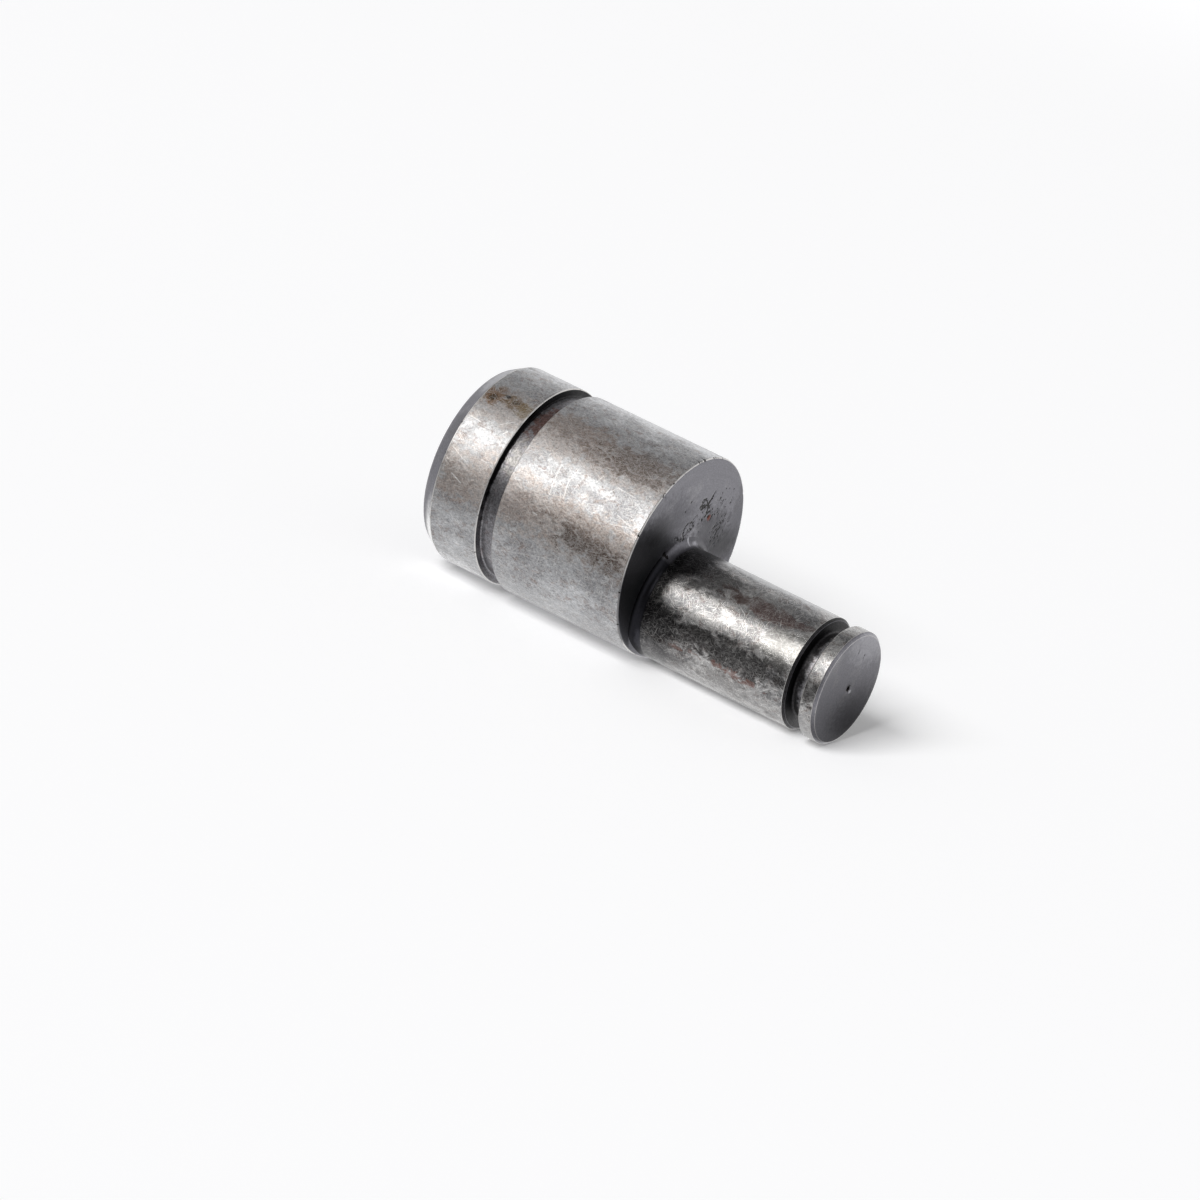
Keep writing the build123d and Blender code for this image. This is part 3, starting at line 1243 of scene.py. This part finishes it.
    def groove_finish(self) -> BlackOxide:
        """Choose the grooves' finish.

        Returns:
            Dull black oxide, left black near the collar and rubbed on the main groove's front.
        """
        near = self.collar_length
        middle = near + 1.4             # of what shows of the main groove's floor
        pin_near = self.tip - self.land_length - self.pin_groove_width
        return BlackOxide(
            "black_oxide_groove", film="#828185", clean="#959497", rust="#6A4E46", rusty=0.25,
            worn=(0.5, 0.66), roughness=(0.30, 0.42), pitch=0.2, rings=0.06, speckle=0.35, depth=0.010,
            patches=(
                Patch((middle, -11.4, 1.2), (2.8, 3.0, 6.0), "#5E5D60", 0.7, 0.5),
                Patch((middle, -6.2, 9.7), (2.8, 6.5, 4.6), "#6B4F48", 0.8, 1.2),
                # lighter where the highlight falls: rubbed metal, and painted highlight
                Patch((middle, -9.9, 5.9), (2.6, 4.0, 5.4), "#918F8D", 0.85, 1.6, 0.2),
                # near-black beside the collar: painted shade in the groove
                Patch((near, 0, 10.0), (0.5, EVERYWHERE, 24.0), "#161516", 0.95, 0.4, 0.7),
                # near-black over the small journal's groove: black oxide, and painted shade in the recess
                Patch((pin_near, 0, 0), (2.4, EVERYWHERE, EVERYWHERE), "#1C1B1C", 0.9, 0.5),
            ),
        )

    def edge_finish(self) -> RubbedEdge:
        """Choose the edges' finish.

        Returns:
            Bare steel, with painted shade low on the shoulder's rim.
        """
        return RubbedEdge("rubbed_edge", patches=(
            # darker low on the rim: painted shade
            Patch((self.shoulder, -10.5, -6.0), (4.0, 9.0, 19.0), "#5A5A5D", 0.8, 0.5, 0.8),
        ))

    def dress(self) -> list[bpy.types.Material]:
        """Make the pin's finishes.

        Returns:
            Their materials, in the order of Finish.
        """
        finishes = (
            self.main_finish(), self.small_finish(), self.oxide_finish(), self.groove_finish(),
            self.edge_finish(), self.root_finish(),
        )
        return [finish.make() for finish in finishes]

    def build(self) -> bpy.types.Object:
        """Build the pin, dress it and put it in the frame.

        Returns:
            The pin's piece.
        """
        piece = put("turned_eccentric_pin", self.mesh())
        for material in self.dress():
            piece.data.materials.append(material)
        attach(piece, BODY)
        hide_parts(NODE)
        return piece


# --------------------------------------------------------------------------------------------
# Studio
# --------------------------------------------------------------------------------------------


def board(name: str, spots: list[Place], material: bpy.types.Material) -> bpy.types.Object:
    """Add a flat four-cornered board.

    Args:
        name: the board's name.
        spots: its corners, in order round it, in metres.
        material: what covers it.

    Returns:
        The board.
    """
    data = bpy.data.meshes.new(name)
    data.from_pydata(spots, [], [(0, 1, 2, 3)])
    data.materials.append(material)
    return put(name, data)


@dataclass(frozen=True)
class Camera:
    """Camera, by the point that it looks at and its angles. Sizes are in millimetres."""

    target: Place = (22.87, -5.06, -7.30)
    distance: float = 694.66
    azimuth: float = 27.652             # degrees, from the front towards +X
    elevation: float = 19.327
    roll: float = 16.68                 # degrees, counter-clockwise tilt of its own up
    lens: float = 180.04
    sensor: float = 36.0                # width
    clip: tuple[float, float] = (10.0, 20000.0)    # nearest and farthest that it sees

    def build(self) -> None:
        """Add the camera and make it the scene's."""
        turn, rise, tilt = (math.radians(angle) for angle in (self.azimuth, self.elevation, self.roll))
        back = Vector((math.sin(turn) * math.cos(rise), -math.cos(turn) * math.cos(rise), math.sin(rise)))
        level = Vector((math.cos(turn), math.sin(turn), 0))
        upright = back.cross(level)
        right = level * math.cos(tilt) + upright * math.sin(tilt)
        up = upright * math.cos(tilt) - level * math.sin(tilt)
        data = bpy.data.cameras.new("camera")
        data.lens, data.sensor_width = self.lens, self.sensor
        data.clip_start, data.clip_end = (reach * MM for reach in self.clip)
        camera = put("camera", data)
        place = Vector(self.target) * MM + back * self.distance * MM
        camera.matrix_world = Matrix.Translation(place) @ Matrix((right, up, back)).transposed().to_4x4()
        bpy.context.scene.camera = camera


@dataclass(frozen=True)
class Lamp:
    """Soft box that points at the pin. Sizes are in metres."""

    name: str
    towards: Place
    distance: float
    width: float
    height: float
    radiance: float                     # brightness of its face, where 1 is white
    tint: str = "#FFFFFF"
    mirrored: bool = True               # whether it shows in metal
    spread: bool = True                 # whether it lights dull surfaces
    white: float = 4.0                  # watts a square metre that make its face white

    def build(self, centre: Vector) -> None:
        """Add the lamp.

        Args:
            centre: what it points at.
        """
        data = bpy.data.lights.new(self.name, "AREA")
        data.shape = "RECTANGLE"
        data.size, data.size_y = self.width, self.height
        data.energy = self.radiance * self.white * self.width * self.height
        data.color = linear(self.tint)[:3]
        lamp = put(self.name, data)
        way = Vector(self.towards).normalized()
        lamp.location = centre + way * self.distance
        lamp.rotation_mode = "QUATERNION"
        lamp.rotation_quaternion = way.to_track_quat("Z", "Y")
        lamp.visible_camera = False
        lamp.visible_glossy = self.mirrored
        lamp.visible_diffuse = self.spread


@dataclass(frozen=True)
class Flag:
    """Grey board that only shows in metal, as a flag does that keeps glare off it. Sizes are in metres."""

    name: str
    low: Place
    high: Place
    shade: float                        # its brightness, where 1 is white

    def build(self) -> None:
        """Add the flag as a flat board from its lowest to its highest corner."""
        low, high = Vector(self.low), Vector(self.high)
        side = Vector((high.x - low.x, 0, 0))
        cloth = bpy.data.materials.new(self.name + "_cloth")
        tree = blank(cloth)
        glow = add_node(tree, "Emission", {"Color": WHITE, "Strength": self.shade})
        add_node(tree, "OutputMaterial", {"Surface": glow})
        flag = board(self.name, [low, low + side, high, high - side], cloth)
        for ray in ("camera", "diffuse", "transmission", "volume_scatter", "shadow"):
            setattr(flag, "visible_" + ray, False)


@dataclass
class Studio:
    """White floor, soft light, flags and camera."""

    centre: Vector
    floor_height: float
    tip: float                          # millimetres: how far the pin reaches along X
    floor_half: float = 3.0             # metres
    floor_colour: str = "#F7F7F8"
    lift: float = 0.13                  # what the white floor gives the camera of itself near the pin
    fade: tuple[float, float] = (0.30, 1.1)        # metres: where that starts to grow, and is pure white
    sky: float = 0.26                   # what the world gives dull surfaces, where 1 is white
    camera: Camera = Camera()
    lamps: tuple[Lamp, ...] = (
        Lamp("key", (-0.25, -0.72, 0.60), 30.0, 24.5, 17.0, 3.0, "#FFFDF8", spread=False),
        Lamp("fill", (-0.14, -0.72, 0.66), 30.0, 14.0, 16.0, 10.2, mirrored=False),
    )
    flags: tuple[Flag, ...] = (
        Flag("overhead_flag", (-1.6, -0.60, 0.8), (0.8, 0.82, 0.8), 0.36),
        Flag("front_flag", (-2.0, -1.0, 0.0), (1.2, -1.0, 0.38), 0.34),
        Flag("side_flag", (0.1, -1.0, 0.0), (1.8, -1.0, 1.3), 0.08),
    )
    # what metal sees of the floor, in millimetres
    front: tuple[float, float] = (-8.0, -42.0)     # where it starts to darken, and is darkest
    front_shade: float = 0.34           # how bright it is there
    tip_shadow: tuple[float, float] = (57.8, 10.0)     # where it is darkest beside the tip
    tip_reach: tuple[float, float] = (9.5, 36.0)   # half that shadow's width and half its length
    tip_turn: float = -18.0             # degrees from Y that its length is turned
    tip_shade: float = 0.0              # how bright it is in the middle

    def floor(self) -> None:
        """Add the floor at the height that the pin lies on.

        It is matt and white. In metal it shows its own shading, and to the camera it grows
        pure white with the distance.
        """
        material = bpy.data.materials.new("matt_white_board")
        tree = blank(material)
        ground = add_node(tree, "TexCoord", out="Object")
        path = add_node(tree, "LightPath").node.outputs
        matt = add_node(tree, "BsdfDiffuse", {"Color": linear(self.floor_colour)})
        far = add_node(tree, "VectorMath", {0: ground}, out="Value", operation="LENGTH")
        near, end = self.fade
        lift = add_node(
            tree, "MapRange", {"Value": far, "From Min": near, "From Max": end, "To Min": self.lift},
            interpolation_type="SMOOTHSTEP",
        )
        seen = add_node(tree, "Math", {0: path["Is Camera Ray"], 1: lift}, operation="MULTIPLY")
        own = add_node(tree, "Emission", {"Color": WHITE, "Strength": seen})
        lit = add_node(tree, "AddShader", {0: matt, 1: own})
        glow = add_node(tree, "Emission", {"Color": WHITE, "Strength": self.mirrored(tree, ground)})
        both = add_node(tree, "MixShader", {0: path["Is Glossy Ray"], 1: lit, 2: glow})
        add_node(tree, "OutputMaterial", {"Surface": both})
        square = ((-1, -1), (1, -1), (1, 1), (-1, 1))
        spots = [(x * self.floor_half, y * self.floor_half, self.floor_height) for x, y in square]
        floor = board("floor", spots, material)

    def mirrored(self, tree: Tree, ground: Socket) -> Socket:
        """Shade the floor that metal sees: white round the pin, dark in front and beside the tip.

        Args:
            tree: the floor's node tree.
            ground: each point's place on the floor, in metres.

        Returns:
            Output socket with the brightness, where 1 is white.
        """
        place = add_node(tree, "SeparateXYZ", {0: ground}).node.outputs
        start, end = self.front
        front = add_node(
            tree, "MapRange",
            {"Value": place["Y"], "From Min": end * MM, "From Max": start * MM, "To Min": self.front_shade},
            interpolation_type="SMOOTHSTEP",
        )
        (x, y), (across, along) = self.tip_shadow, self.tip_reach
        shadow = add_node(
            tree, "Mapping",
            {"Vector": ground, "Location": (x * MM, y * MM, self.floor_height),
             "Rotation": (0, 0, math.radians(self.tip_turn)), "Scale": (across * MM, along * MM, 1)},
            vector_type="TEXTURE",
        )
        away = add_node(tree, "VectorMath", {0: shadow}, out="Value", operation="LENGTH")
        beside = add_node(tree, "MapRange", {"Value": away, "To Min": self.tip_shade})
        before = add_node(tree, "Math", {0: place["X"], 1: self.tip * MM}, operation="LESS_THAN")
        light = add_node(tree, "Math", {0: before, 1: beside}, operation="MAXIMUM")
        return add_node(tree, "Math", {0: front, 1: light}, operation="MULTIPLY")

    def world(self) -> None:
        """Add a world that is white to the camera and in metal, and dimmer as a light."""
        world = bpy.data.worlds.new("studio")
        tree = blank(world)
        path = add_node(tree, "LightPath").node.outputs
        seen = path["Is Camera Ray"]
        for kind in ("Is Glossy Ray", "Is Transmission Ray"):
            seen = add_node(tree, "Math", {0: seen, 1: path[kind]}, operation="MAXIMUM")
        strength = add_node(tree, "MapRange", {"Value": seen, "To Min": self.sky})
        shade = add_node(tree, "Background", {"Color": WHITE, "Strength": strength})
        add_node(tree, "OutputWorld", {"Surface": shade})
        bpy.context.scene.world = world

    def build(self) -> None:
        """Add the floor, the world, the lamps, the flags and the camera."""
        self.floor()
        self.world()
        for lamp in self.lamps:
            lamp.build(self.centre)
        for flag in self.flags:
            flag.build()
        self.camera.build()


def main() -> None:
    """Build the pin and its studio."""
    logging.basicConfig(level=logging.INFO, format="%(name)s: %(message)s")
    bpy.context.scene.view_settings.view_transform = "Standard"
    low, high = CAD_BOX
    Studio(centre=(low + high) / 2, floor_height=low.z, tip=high.x / MM).build()
    pin = EccentricPin.from_frame().build()
    log.info("%s: %d faces", pin.name, len(pin.data.polygons))


if __name__ == "__main__":
    main()
